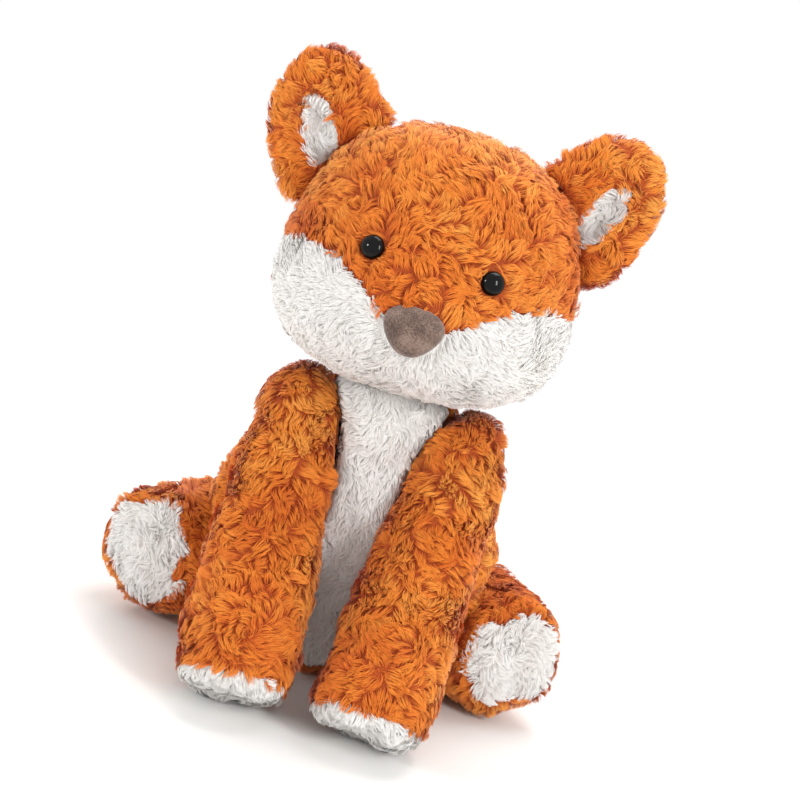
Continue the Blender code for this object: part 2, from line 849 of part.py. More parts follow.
def build_front_leg(side, sign, table):
    shoulder = (sign * SHOULDER_OUT, -SHOULDER_FORWARD, SHOULDER_HEIGHT)
    pivot = joint("shoulder_joint_" + side, shoulder)
    swing = (-FRONT_SLOPE, sign * FRONT_LEAN, 0)
    frame = joint("front_leg_frame_" + side, (0, 0, 0), pivot, swing)
    drop = PAW_RADIUS * PAW_HEEL_SHARE * sin(FRONT_SLOPE) - SEAT_FLAT
    length = (SHOULDER_HEIGHT - drop) / cos(FRONT_SLOPE)
    stations = leg_stations(
        SHOULDER_RADIUS, PAW_RADIUS, length, PAW_END, FRONT_LEG_SHARES
    )
    place = straight(Vector((0, 0, -1)))
    name = "front_leg_" + side
    limb(name, "sole", stations, place, length - PAW_SOLE, frame, table)
    socket = socket_ball("shoulder_socket_" + side, SHOULDER_RADIUS + GAP, Vector(), pivot)
    turns = [(-FRONT_SWING * share, 0, 0) for share in SWING_SHARES]
    return [socket, *rooms(name, stations, place, SHOULDER_RADIUS, pivot, swing, turns)]


def build_hind_leg(side, sign, table):
    hip = Vector((sign * HIP_OUT, HIP_BEHIND, HIP_HEIGHT))
    pivot = joint("hip_joint_" + side, hip)
    foot = Vector((sign * FOOT_OUT, -FOOT_FORWARD, FOOT_HEIGHT)) - hip
    ahead = Vector((sign * sin(FOOT_YAW), -cos(FOOT_YAW), 0))
    bend = foot - ahead * FOOT_RADIUS
    place, run = bent(Vector(), bend, foot, Vector((0, 0, 1)))
    stations = leg_stations(HIP_RADIUS, FOOT_RADIUS, run, FOOT_END, HIND_LEG_SHARES)
    name = "hind_leg_" + side
    limb(name, "sole", stations, place, run - FOOT_SOLE, pivot, table)
    socket = socket_ball("hip_socket_" + side, HIP_RADIUS + GAP, Vector(), pivot)
    turns = [(-HIND_LIFT * share, 0, 0) for share in SWING_SHARES]
    return [socket, *rooms(name, stations, place, HIP_RADIUS, pivot, (0, 0, 0), turns)]


def build_tail(table):
    root = Vector((0, TAIL_BEHIND, TAIL_HEIGHT))
    pivot = joint("tail_joint", root)
    end = Vector((0, TAIL_LENGTH, TAIL_RISE))
    bend = Vector((0, TAIL_LENGTH / 2, 0))
    place, run = bent(Vector(), bend, end, Vector((0, 0, 1)))
    stations = []
    for share in BALL_SHARES:
        radius = BALL_GAIN * TAIL_ROOT_RADIUS * sqrt(max(0, 1 - share * share))
        stations.append((BALL_GAIN * share * TAIL_ROOT_RADIUS, radius))
    for share, part in TAIL_SHARES:
        stations.append((share * run, part * TAIL_RADIUS))
    stations.append((run, 0))
    stations = [(d, 0, r, r, r, 0) for d, r in stations]
    limb("tail", "tip", stations, place, run - TAIL_TIP_LENGTH, pivot, table)
    room = room_form("tail_room", stations, place, TAIL_ROOT_RADIUS, pivot)
    socket = socket_ball("tail_socket", TAIL_ROOT_RADIUS + GAP, Vector(), pivot)
    return socket, room


def main():
    table = table_block()
    build_head()
    sockets = []
    for side, sign in SIDES:
        sockets += build_front_leg(side, sign, table)
        sockets += build_hind_leg(side, sign, table)
    tail_socket, tail_room = build_tail(table)
    build_body([*sockets, tail_socket], tail_room, table)


clear_scene()
PARTS = collection("Plush fox")
CUTTERS = collection("Cutters")
main()
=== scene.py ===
"""Dresses the stuffed fox: cloth skins, pile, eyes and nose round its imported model, in metres."""

import json
from math import radians

import bmesh
import bpy
import numpy as np
from mathutils import Matrix, Vector
from mathutils.bvhtree import BVHTree
from mathutils.kdtree import KDTree


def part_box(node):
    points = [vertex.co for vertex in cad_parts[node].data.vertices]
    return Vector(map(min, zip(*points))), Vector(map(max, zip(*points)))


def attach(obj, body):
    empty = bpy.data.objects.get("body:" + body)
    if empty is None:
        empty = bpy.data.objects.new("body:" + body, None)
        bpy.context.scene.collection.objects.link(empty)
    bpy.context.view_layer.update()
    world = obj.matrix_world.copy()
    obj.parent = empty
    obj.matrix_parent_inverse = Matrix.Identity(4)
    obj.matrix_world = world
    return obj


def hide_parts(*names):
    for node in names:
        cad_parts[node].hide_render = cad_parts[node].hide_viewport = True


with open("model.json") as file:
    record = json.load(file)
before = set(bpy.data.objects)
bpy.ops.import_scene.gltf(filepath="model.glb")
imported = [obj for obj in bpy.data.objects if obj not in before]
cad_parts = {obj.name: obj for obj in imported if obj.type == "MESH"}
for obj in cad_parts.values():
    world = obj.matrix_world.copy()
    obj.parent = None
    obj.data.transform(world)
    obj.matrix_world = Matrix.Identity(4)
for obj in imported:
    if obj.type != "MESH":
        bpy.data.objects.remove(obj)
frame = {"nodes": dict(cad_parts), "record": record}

bl_info = {
    "name": "Plush fox dressing",
    "version": (1, 0, 0),
    "blender": (4, 5, 0),
    "location": "3D View > Sidebar > Plush fox",
    "description": "Cloth skins, curly pile, eyes and nose of a stuffed fox",
    "category": "Object",
}

MM = 0.001
DENT_SIZE = 17 * MM  # from one hollow in a stuffed form to the next
FILLING_VOXEL = 4 * MM
FILLING_DEPTH = 3.5 * MM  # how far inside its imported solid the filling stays

# Where the face's parts are, for the lie of the pile
NOSE_BRIDGE = (0.0, -0.090, 0.2165)
PAW_SWIRL = (0.034, -0.113, 0.050)  # of the left side, as are the next ones
LEG_WAY = (-0.060, -0.500, -0.864)
HIP = (0.054, 0.026, 0.0395)
SOLE_MIDDLE = (0.104, -0.012, 0.039)
EAR_SEAM = (0.0585, -0.0023, 0.2673)
EAR_WAY = (0.469, 0.153, 0.870)
TAIL_END = (0.0, 0.196, 0.056)  # just beyond the tip
SIDES = (("left", 1), ("right", -1))

# Edges that the pile keeps to
EAR_OVERLAP = 1.0 * MM  # how far orange pile covers the edge of an ear's lining
BIB_HEIGHTS = (0.0, 0.0435, 0.1044, 0.1305, 0.1566)
BIB_HALF_WIDTHS = (0.0213, 0.0271, 0.0271, 0.0328, 0.0410)
BIB_BACK = -0.016
BIB_BOTTOM = 0.010
SHANK_CORNERS = 6  # packed corners at the end of a shank, next to its axis
EYE_DOME = 4.5 * MM
EYE_RADIUS = 6.2 * MM
EYE_FREE = 6.3 * MM  # no fibre comes closer to an eye's axis

# Camera: the photograph's place and roll
AIM = Vector((0.004, -0.070, 0.176))
CAMERA_DISTANCE = 1.2
CAMERA_RISE = radians(15)
CAMERA_ROLL = radians(17)
LENS_MM = 108
SENSOR_MM = 36

# Pile: how densely it grows, and where it makes room
ORANGE_DENSITY = 2.05e6  # strands on a square metre
WHITE_DENSITY = 2.35e6
CROWDED = 2 * MM  # closer than this to another body, fewer strands grow
NEAR_FLOOR = 1 * MM  # as they do on what rests on the floor
THINNED = 0.4  # share of the strands that grow in both
ROOM = 6 * MM  # closer than this to another body, strands are shorter
LEAST_ROOM = 0.35  # share of its height that a strand keeps there
FLOOR_GAP = 0.3 * MM  # no strand comes closer to the floor
TURN_SIZE = 26 * MM  # from one change in the pile's way to the next
SHADE_SIZE = 30 * MM  # from one change in its shade to the next
STEPS = np.array([0.0, 0.52, 1.0])  # shares of a strand at which it has points
TAPER = np.array([1.0, 0.85])  # its width at the first two of them

# Stage: places in metres, power in watts
LAMP_AIM = Vector((0, 0, 0.17))
LAMPS = (
    ("key", (0.85, -0.95, 0.75), 0.24, 0.6, 8.4),
    ("fill", (-0.95, -0.75, 0.55), 0.20, 0.20, 4.4),
    ("top", (0.15, 0.30, 1.3), 0.8, 0.8, 9),
    ("back", (-0.35, 1.20, 0.75), 0.8, 0.8, 8),
)
STUDIO_GLOW = 0.69  # of the white world, for rays that don't show it directly
FLOOR_SIZE = 6
PAPER_NEAR = 0.20  # from the middle, where the paper starts to run out into white
PAPER_FAR = 0.75  # and where it is white


def linear(text):
    """Linear colour, with alpha, of an sRGB hex value."""
    parts = [int(text[i : i + 2], 16) / 255 for i in (1, 3, 5)]
    shades = [c / 12.92 if c <= 0.04045 else ((c + 0.055) / 1.055) ** 2.4 for c in parts]
    return (*shades, 1.0)


def node(tree, kind, settings=None, **links):
    """Adds a node, sets its properties or sockets by name, and links sockets into it."""
    made = tree.nodes.new(kind)
    for name, value in (settings or {}).items():
        if name in made.inputs:
            made.inputs[name].default_value = value
        else:
            setattr(made, name, value)
    for name, source in links.items():
        tree.links.new(source, made.inputs[name.replace("_", " ")])
    return made


def new_material(name):
    made = bpy.data.materials.new(name)
    made.use_nodes = True
    return made, made.node_tree, made.node_tree.nodes["Principled BSDF"]


def nothing_selected():
    if bpy.context.object and bpy.context.object.mode != "OBJECT":
        bpy.ops.object.mode_set(mode="OBJECT")
    bpy.ops.object.select_all(action="DESELECT")


def active(piece):
    nothing_selected()
    piece.select_set(True)
    bpy.context.view_layer.objects.active = piece


def apply_all(piece):
    active(piece)
    for name in [m.name for m in piece.modifiers]:
        bpy.ops.object.modifier_apply(modifier=name)


def smooth_shaded(piece):
    piece.data.polygons.foreach_set("use_smooth", [True] * len(piece.data.polygons))


def copied(name, sources):
    """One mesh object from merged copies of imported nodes, which stay as they are."""
    shape = bmesh.new()
    for source in sources:
        shape.from_mesh(frame["nodes"][source].data)
    bmesh.ops.remove_doubles(shape, verts=shape.verts, dist=0.01 * MM)
    mesh = bpy.data.meshes.new(name)
    shape.to_mesh(mesh)
    shape.free()
    made = bpy.data.objects.new(name, mesh)
    bpy.context.scene.collection.objects.link(made)
    return made


def largest_shell(piece):
    """Keeps the outer skin of a remeshed form and drops what was enclosed in it."""
    shape = bmesh.new()
    shape.from_mesh(piece.data)
    left = set(shape.verts)
    shells = []
    while left:
        shell, edge = set(), [left.pop()]
        while edge:
            vertex = edge.pop()
            shell.add(vertex)
            for side in vertex.link_edges:
                other = side.other_vert(vertex)
                if other in left:
                    left.discard(other)
                    edge.append(other)
        shells.append(shell)
    shells.sort(key=len)
    for shell in shells[:-1]:
        bmesh.ops.delete(shape, geom=list(shell), context="VERTS")
    shape.to_mesh(piece.data)
    shape.free()


def stuffed(name, sources, voxel, rounds=6):
    """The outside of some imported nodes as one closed, smooth, stuffed form."""
    made = copied(name, sources)
    remesh = made.modifiers.new("even", "REMESH")
    remesh.mode = "VOXEL"
    remesh.voxel_size = voxel
    apply_all(made)
    largest_shell(made)
    relax = made.modifiers.new("relax", "SMOOTH")
    relax.factor = 0.5
    relax.iterations = rounds
    apply_all(made)
    smooth_shaded(made)
    return made


def dented(piece, depth, seed):
    """Presses shallow hollows into a form, as loose filling leaves them under the cloth."""
    mesh = piece.data
    points = np.empty(len(mesh.vertices) * 3)
    mesh.vertices.foreach_get("co", points)
    points = points.reshape(-1, 3)
    normals = np.empty(len(points) * 3)
    mesh.vertex_normals.foreach_get("vector", normals)
    hollow = (1 + wander(points, DENT_SIZE, seed)).clip(0, 2) / 2 * depth
    hollow *= np.clip(points[:, 2] / (4 * MM), 0, 1)
    points -= normals.reshape(-1, 3) * hollow[:, None]
    mesh.vertices.foreach_set("co", points.ravel())
    mesh.update()


def tree_of(names):
    """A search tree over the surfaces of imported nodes."""
    points, faces = [], []
    for name in names:
        mesh = frame["nodes"][name].data
        first = len(points)
        points += [v.co.copy() for v in mesh.vertices]
        faces += [[first + i for i in p.vertices] for p in mesh.polygons]
    return BVHTree.FromPolygons(points, faces)


def body_nodes(body):
    return frame["record"]["behaviour"]["bodies"][body]


def distances(points, tree):
    far = 1.0
    found = (tree.find_nearest(Vector(p)) for p in points)
    return np.array([f[3] if f[3] is not None else far for f in found])


class Surface:
    """The skin of a stuffed form as arrays, with how near other bodies come to it."""

    def __init__(self, piece, body, panels, second):
        mesh = piece.data
        mesh.calc_loop_triangles()
        count = len(mesh.vertices)
        self.points = np.empty(count * 3)
        mesh.vertices.foreach_get("co", self.points)
        self.points = self.points.reshape(-1, 3)
        self.normals = np.empty(count * 3)
        mesh.vertex_normals.foreach_get("vector", self.normals)
        self.normals = self.normals.reshape(-1, 3)
        self.corners = np.empty(len(mesh.loop_triangles) * 3, dtype=np.int32)
        mesh.loop_triangles.foreach_get("vertices", self.corners)
        self.corners = self.corners.reshape(-1, 3)
        others = [n for n in frame["nodes"] if n not in body_nodes(body)]
        self.near = distances(self.points, tree_of(others))
        gaps = np.array([distances(self.points, tree_of([p])) for p in panels])
        self.panels = list(panels)
        self.panel = second(self.points, gaps).astype(int)

    def of_panel(self, name):
        """Triangles that lie on one panel."""
        wanted = self.panels.index(name)
        return (self.panel[self.corners] == wanted).sum(axis=1) >= 2


def by_distance(points, gaps):
    """Where a form has its second panel: where that is the nearer one."""
    return gaps[1] < gaps[0]


def inside_ear(points, gaps):
    """The lining, but for its edge, which the ear's own pile covers."""
    return gaps[1] + EAR_OVERLAP < gaps[0]


def on_the_bib(points, gaps):
    """The bib, which also runs on into the hollows beside it."""
    half = np.interp(points[:, 2], BIB_HEIGHTS, BIB_HALF_WIDTHS)
    ahead = (points[:, 1] < BIB_BACK) & (points[:, 2] > BIB_BOTTOM)
    return ahead & (np.abs(points[:, 0]) < half)


def unit(vectors):
    size = np.linalg.norm(vectors, axis=-1, keepdims=True)
    return vectors / np.maximum(size, 1e-12)


def along_skin(vectors, normals):
    """The part of some directions that lies in the skin, at unit length."""
    flat = vectors - normals * (vectors * normals).sum(axis=1, keepdims=True)
    return unit(flat)


def turned(vectors, normals, angle):
    """Directions in the skin, turned about its normals."""
    side = np.cross(normals, vectors)
    angle = angle[:, None]
    return vectors * np.cos(angle) + side * np.sin(angle)


def mirrored(place, sign):
    return np.array(place) * np.array([sign, 1, 1])


def wander(points, size, seed):
    """A smooth random value from about -1 to 1 at each point, that changes over size."""
    rng = np.random.default_rng(seed)
    total = np.zeros(len(points))
    for _ in range(6):
        way = unit(rng.normal(size=3)) / size * rng.uniform(0.7, 1.5)
        total += np.sin(points @ way * np.pi + rng.uniform(0, 2 * np.pi))
    return total / 2.2


def scattered(surface, chosen, density, rng):
    """Random places on chosen triangles: positions, normals and nearness."""
    corners = surface.corners[chosen]
    a, b, c = (surface.points[corners[:, k]] for k in range(3))
    area = np.linalg.norm(np.cross(b - a, c - a), axis=1) / 2
    crowded = surface.near[corners].mean(axis=1)
    share = np.where(crowded < CROWDED, THINNED, 1.0)
    floor = (a[:, 2] + b[:, 2] + c[:, 2]) / 3
    share = np.where(floor < NEAR_FLOOR, THINNED, share)
    count = np.floor(area * density * share + rng.random(len(area))).astype(int)
    index = np.repeat(np.arange(len(corners)), count)
    r, s = rng.random((2, len(index)))
    over = r + s > 1
    r[over], s[over] = 1 - r[over], 1 - s[over]
    weights = np.stack([1 - r - s, r, s], axis=1)
    picked = corners[index]
    points = (surface.points[picked] * weights[:, :, None]).sum(axis=1)
    normals = unit((surface.normals[picked] * weights[:, :, None]).sum(axis=1))
    near = (surface.near[picked] * weights).sum(axis=1)
    return points, normals, near


def nearest(points, centres):
    tree = KDTree(len(centres))
    for i, centre in enumerate(centres):
        tree.insert(centre, i)
    tree.balance()
    return np.array([tree.find(p)[1] for p in points])


def paths(roots, normals, ways, height, reach, curl, phase):
    """Points of each strand at STEPS: it rises, lies over along its way and waves."""
    s = STEPS[None, :, None]
    rise = (1 - (1 - s) ** 2) * (1 - 0.22 * s)
    side = np.cross(normals, ways)
    wave = np.sin(np.pi * 1.3 * s + phase[:, None, None]) - np.sin(phase[:, None, None])
    return (
        roots[:, None, :]
        + normals[:, None, :] * rise * height[:, None, None]
        + ways[:, None, :] * s * reach[:, None, None]
        + side[:, None, :] * wave * curl[:, None, None] * s
    )


class Growth:
    """How one kind of pile grows. Lengths are in metres.

    A lock is a group of tufts and a tuft a group of strands: lock and tuft say how far
    apart they stand. Unruly is how much their ways differ, curl how far a strand waves and
    gather how far a lock's tufts draw together.
    """

    def __init__(self, length, height, lock, tuft, width, density, unruly, curl, gather):
        self.length = length
        self.height = height
        self.lock = lock
        self.tuft = tuft
        self.width = width
        self.density = density
        self.unruly = unruly
        self.curl = curl
        self.gather = gather


def grown(surface, chosen, lie, growth, seed, keep=None, painted_light=None):
    """Strands of pile: their points, widths, side directions and shades."""
    rng = np.random.default_rng(seed)
    thin = 1.0
    roots, normals, near = scattered(surface, chosen, growth.density * thin, rng)
    lock_at, lock_n, _ = scattered(surface, chosen, 1 / growth.lock**2, rng)
    tuft_at, tuft_n, _ = scattered(surface, chosen, 1 / growth.tuft**2, rng)
    lock_of = nearest(tuft_at, lock_at)
    tuft_of = nearest(roots, tuft_at)

    turn = wander(lock_at, TURN_SIZE, seed + 1) * growth.unruly
    turn += rng.normal(0, growth.unruly * 0.55, len(lock_at))
    lift = np.clip(rng.normal(1.0, 0.28, len(lock_at)), 0.4, 1.6)
    size = np.clip(rng.normal(1.0, 0.16, len(lock_at)), 0.6, 1.4)
    phase = rng.uniform(0, 2 * np.pi, len(lock_at))
    shade = 0.5 + 0.16 * wander(lock_at, SHADE_SIZE, seed + 2)
    shade += rng.normal(0, 0.09, len(lock_at))
    # Painted light where it is given: a lighter top of the head.
    if painted_light is not None:
        shade += painted_light(lock_at)

    def ways(points, skin, angle):
        return turned(along_skin(lie(points, skin), skin), skin, angle)

    def lengths(lift_here, size_here, roomy):
        return (
            growth.height * lift_here * roomy,
            growth.length * size_here * (0.45 + 0.55 * roomy),
        )

    lock_path = paths(
        lock_at,
        lock_n,
        ways(lock_at, lock_n, turn),
        *lengths(lift * 1.15, size, 1.0),
        np.full(len(lock_at), growth.curl),
        phase,
    )
    tuft_turn = turn[lock_of] + rng.normal(0, 0.16, len(tuft_at))
    tuft_lift = lift[lock_of] * rng.uniform(0.85, 1.15, len(tuft_at))
    tuft_size = size[lock_of] * rng.uniform(0.8, 1.2, len(tuft_at))
    tuft_phase = phase[lock_of] + rng.normal(0, 0.5, len(tuft_at))
    tuft_path = paths(
        tuft_at,
        tuft_n,
        ways(tuft_at, tuft_n, tuft_turn),
        *lengths(tuft_lift, tuft_size, 1.0),
        np.full(len(tuft_at), growth.curl),
        tuft_phase,
    )
    s = STEPS[None, :, None]
    tuft_path += (lock_path[lock_of] - tuft_path) * growth.gather * s**1.5

    roomy = np.clip(near / ROOM, LEAST_ROOM, 1.0)
    height, reach = lengths(
        tuft_lift[tuft_of] * rng.uniform(0.75, 1.1, len(roots)),
        tuft_size[tuft_of] * rng.uniform(0.75, 1.1, len(roots)),
        roomy,
    )
    way = ways(roots, normals, tuft_turn[tuft_of] + rng.normal(0, 0.12, len(roots)))
    curl = np.full(len(roots), growth.curl)
    strands = paths(roots, normals, way, height, reach, curl, tuft_phase[tuft_of])
    pull = (0.62 * roomy * rng.uniform(0.7, 1.1, len(roots)))[:, None, None]
    strands += (tuft_path[tuft_of] - strands) * pull * s**1.3
    strands[:, :, 2] = np.maximum(strands[:, :, 2], FLOOR_GAP)

    if keep is not None:
        kept = keep(strands)
        strands, roots, normals = strands[kept], roots[kept], normals[kept]
        tuft_of = tuft_of[kept]

    ahead = unit(np.gradient(strands, axis=1))
    flat = unit(np.cross(ahead, normals[:, None, :]))
    roll = rng.uniform(-0.9, 0.9, len(roots))[:, None, None]
    side = unit(flat * np.cos(roll) + normals[:, None, :] * np.sin(roll))
    shades = shade[lock_of][tuft_of] + rng.normal(0, 0.10, len(roots))
    # Painted light: a lock that stands higher is painted lighter, as if it catches more light, and
    # a flatter one darker.
    shades += 0.10 * (lift[lock_of][tuft_of] - 1)
    widths = growth.width * rng.uniform(0.7, 1.3, len(roots)) / np.sqrt(thin)
    out = unit(np.cross(side, ahead))
    facing = np.sign((out * normals[:, None, :]).sum(axis=2, keepdims=True))
    out = unit(out * facing * 0.45 + normals[:, None, :])
    return strands, side, widths, np.clip(shades, 0.02, 0.98), out


def pile_mesh(name, strands, side, widths, shades, out):
    """Each strand as a tapering ribbon: one quad and a tip."""
    count = len(strands)
    half = (widths[:, None] * TAPER[None, :] / 2)[:, :, None] * side[:, :2]
    left, right = strands[:, :2] - half, strands[:, :2] + half
    points = np.concatenate(
        [np.stack([left, right], axis=2).reshape(count, 4, 3), strands[:, 2:]], axis=1
    )
    corners = np.array([0, 1, 3, 2, 2, 3, 4], dtype=np.int64)
    loops = (np.arange(count)[:, None] * 5 + corners[None, :]).ravel()
    starts = (np.arange(count)[:, None] * 7 + np.array([0, 4])[None, :]).ravel()
    mesh = bpy.data.meshes.new(name)
    mesh.vertices.add(count * 5)
    mesh.vertices.foreach_set("co", points.astype(np.float32).ravel())
    mesh.loops.add(len(loops))
    mesh.loops.foreach_set("vertex_index", loops.astype(np.int32))
    mesh.polygons.add(len(starts))
    mesh.polygons.foreach_set("loop_start", starts.astype(np.int32))
    mesh.update(calc_edges=True)
    mesh.shade_smooth()
    along = np.array([0, 0, STEPS[1], STEPS[1], 1.0])
    across = np.array([-1, 1, -1, 1, 0]) * 0.008
    u = np.clip(shades[:, None] + across[None, :], 0, 1)
    v = np.broadcast_to(along[None, :], u.shape)
    uv = np.stack([u, v], axis=2).reshape(-1, 2)[loops]
    layer = mesh.uv_layers.new(name="OFBake")
    layer.data.foreach_set("uv", uv.astype(np.float32).ravel())
    mesh.validate()
    facing = np.repeat(out[:, :2], 2, axis=1)
    facing = np.concatenate([facing, out[:, 2:]], axis=1).reshape(-1, 3)
    mesh.normals_split_custom_set_from_vertices(facing.astype(np.float32))
    made = bpy.data.objects.new(name, mesh)
    bpy.context.scene.collection.objects.link(made)
    return made


MOST_STRANDS = 65_000  # in one piece, which keeps it under 200,000 triangles


def lay_pile(name, body, strands, look):
    """Pieces of pile that ride one body, split from top to bottom where there are many."""
    points = strands[0]
    parts = int(np.ceil(len(points) / MOST_STRANDS))
    order = np.argsort(-points[:, 0, 2], kind="stable")
    for index, chosen in enumerate(np.array_split(order, parts)):
        label = name if parts == 1 else f"{name}_{index + 1}"
        made = pile_mesh(label, *(values[chosen] for values in strands))
        made.data.materials.append(look)
        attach(made, body)


def pile_look(name, colours, kind):
    """Crimped polyester pile: darker towards the roots, painted shade for the shadow deep where it
    is dense, and its own shades above.
    """

    def tone(part):
        return (*getattr(colours, kind + "_" + part), 1.0)

    made, tree, shader = new_material(name)
    place = node(tree, "ShaderNodeUVMap", {"uv_map": "OFBake"})
    split = node(tree, "ShaderNodeSeparateXYZ", Vector=place.outputs["UV"])
    shade = node(tree, "ShaderNodeValToRGB", Fac=split.outputs["X"])
    ramp = shade.color_ramp
    ramp.elements[0].color = tone("deep")
    ramp.elements[1].color = tone("light")
    ramp.elements.new(0.5).color = tone("middle")
    # Painted shade: the fibres turn to the darker colour towards their roots, for the shadow deep
    # in the pile.
    fade = node(tree, "ShaderNodeValToRGB", Fac=split.outputs["Y"])
    fade.color_ramp.elements[0].color = (1, 1, 1, 1)
    fade.color_ramp.elements[1].color = (0, 0, 0, 1)
    fade.color_ramp.elements[1].position = 0.75
    shaded_to_roots = node(tree, "ShaderNodeMix", {"data_type": "RGBA"})
    tree.links.new(fade.outputs["Color"], shaded_to_roots.inputs["Factor"])
    tree.links.new(shade.outputs["Color"], shaded_to_roots.inputs[6])
    shaded_to_roots.inputs[7].default_value = tone("root")
    tree.links.new(shaded_to_roots.outputs[2], shader.inputs["Base Color"])
    shader.inputs["Roughness"].default_value = 0.7
    shader.inputs["Specular IOR Level"].default_value = 0.25
    shader.inputs["Sheen Weight"].default_value = 0.25
    shader.inputs["Sheen Roughness"].default_value = 0.5
    return made


def backing_look(name, colour):
    """Knitted ground of pile cloth, dyed with it: rows of loops that show where pile parts. Where
    its colour is darker than the pile, as the orange one is, that is painted shade for the shadow
    deep between the fibres.
    """
    made, tree, shader = new_material(name)
    place = node(tree, "ShaderNodeTexCoord")
    rows = node(
        tree,
        "ShaderNodeTexWave",
        {"Scale": 2 * np.pi / (1.2 * MM) / 20, "Distortion": 3.0, "Detail": 1.0},
        Vector=place.outputs["Object"],
    )
    dyed_and_shaded = node(tree, "ShaderNodeMix", {"data_type": "RGBA", "blend_type": "MULTIPLY"})
    dyed_and_shaded.inputs[0].default_value = 0.2
    dyed_and_shaded.inputs[6].default_value = linear(colour)
    tree.links.new(rows.outputs["Color"], dyed_and_shaded.inputs[7])
    tree.links.new(dyed_and_shaded.outputs[2], shader.inputs["Base Color"])
    loops = node(
        tree,
        "ShaderNodeBump",
        {"Strength": 0.5, "Distance": 0.3 * MM},
        Height=rows.outputs["Fac"],
    )
    tree.links.new(loops.outputs["Normal"], shader.inputs["Normal"])
    shader.inputs["Roughness"].default_value = 0.95
    return made


def suede_look():
    """Brushed microfibre suede: a short nap that pales where it is stroked one way."""
    made, tree, shader = new_material("brushed suede")
    place = node(tree, "ShaderNodeTexCoord")
    nap = node(
        tree,
        "ShaderNodeTexNoise",
        {"Scale": 1 / (0.9 * MM), "Detail": 3.0, "Roughness": 0.7},
        Vector=place.outputs["Object"],
    )
    stroked = node(
        tree,
        "ShaderNodeTexNoise",
        {"Scale": 1 / (11 * MM), "Detail": 2.0},
        Vector=place.outputs["Object"],
    )
    both = node(tree, "ShaderNodeMix", {"data_type": "FLOAT"})
    both.inputs[0].default_value = 0.45
    tree.links.new(nap.outputs["Fac"], both.inputs[2])
    tree.links.new(stroked.outputs["Fac"], both.inputs[3])
    shades = node(tree, "ShaderNodeValToRGB", Fac=both.outputs[0])
    ramp = shades.color_ramp
    ramp.elements[0].position, ramp.elements[0].color = 0.41, linear("#4E3C34")
    ramp.elements[1].position, ramp.elements[1].color = 0.59, linear("#8A7367")
    ramp.elements.new(0.5).color = linear("#6C564B")
    tree.links.new(shades.outputs["Color"], shader.inputs["Base Color"])
    raised = node(
        tree,
        "ShaderNodeBump",
        {"Strength": 0.6, "Distance": 0.25 * MM},
        Height=nap.outputs["Fac"],
    )
    tree.links.new(raised.outputs["Normal"], shader.inputs["Normal"])
    shader.inputs["Roughness"].default_value = 0.85
    shader.inputs["Sheen Weight"].default_value = 0.5
    shader.inputs["Sheen Roughness"].default_value = 0.4
    return made


def eye_look():
    """Polished black acrylic: a sharp reflection over black, with the finest of scratches."""
    made, tree, shader = new_material("polished acrylic")
    shader.inputs["Base Color"].default_value = linear("#080706")
    shader.inputs["Specular IOR Level"].default_value = 0.2
    place = node(tree, "ShaderNodeTexCoord")
    wear = node(
        tree,
        "ShaderNodeTexNoise",
        {"Scale": 1 / (2.5 * MM), "Detail": 4.0},
        Vector=place.outputs["Object"],
    )
    polish = node(tree, "ShaderNodeMapRange", {"To Min": 0.03, "To Max": 0.09})
    tree.links.new(wear.outputs["Fac"], polish.inputs["Value"])
    tree.links.new(polish.outputs["Result"], shader.inputs["Roughness"])
    shader.inputs["IOR"].default_value = 1.49
    return made


def filling_look():
    """Loose polyester fibre: white, matt and crimped."""
    made, tree, shader = new_material("polyester filling")
    place = node(tree, "ShaderNodeTexCoord")
    crimp = node(
        tree,
        "ShaderNodeTexNoise",
        {"Scale": 1 / (3 * MM), "Detail": 5.0, "Distortion": 1.5},
        Vector=place.outputs["Object"],
    )
    shades = node(tree, "ShaderNodeValToRGB", Fac=crimp.outputs["Fac"])
    shades.color_ramp.elements[0].color = linear("#D5D5D2")
    shades.color_ramp.elements[1].color = linear("#F6F6F4")
    tree.links.new(shades.outputs["Color"], shader.inputs["Base Color"])
    tufts = node(
        tree,
        "ShaderNodeBump",
        {"Strength": 0.8, "Distance": 1 * MM},
        Height=crimp.outputs["Fac"],
    )
    tree.links.new(tufts.outputs["Normal"], shader.inputs["Normal"])
    shader.inputs["Roughness"].default_value = 0.98
    return made


def washer_look():
    """Moulded polypropylene: milky, slightly waxy, with a faint mould texture."""
    made, tree, shader = new_material("moulded polypropylene")
    shader.inputs["Base Color"].default_value = linear("#DEDEDA")
    place = node(tree, "ShaderNodeTexCoord")
    grain = node(
        tree,
        "ShaderNodeTexNoise",
        {"Scale": 1 / (0.4 * MM), "Detail": 2.0},
        Vector=place.outputs["Object"],
    )
    dull = node(tree, "ShaderNodeMapRange", {"To Min": 0.38, "To Max": 0.55})
    tree.links.new(grain.outputs["Fac"], dull.inputs["Value"])
    tree.links.new(dull.outputs["Result"], shader.inputs["Roughness"])
    return made


def looks():
    """The finishes that several pieces share, made once."""
    found = bpy.data.materials
    if "curly orange pile" not in found:
        colours = bpy.context.scene.fox_colours
        pile_look("curly orange pile", colours, "orange")
        pile_look("short white pile", colours, "white")
        # Painted shade: the orange backing is darker than its pile, for the shadow deep between the
        # fibres; the white backing is the pile's own colour.
        backing_look("orange knitted backing", "#B4501C")
        backing_look("white knitted backing", "#F2EFEB")
    return {
        "orange": found["curly orange pile"],
        "white": found["short white pile"],
        "orange backing": found["orange knitted backing"],
        "white backing": found["white knitted backing"],
    }


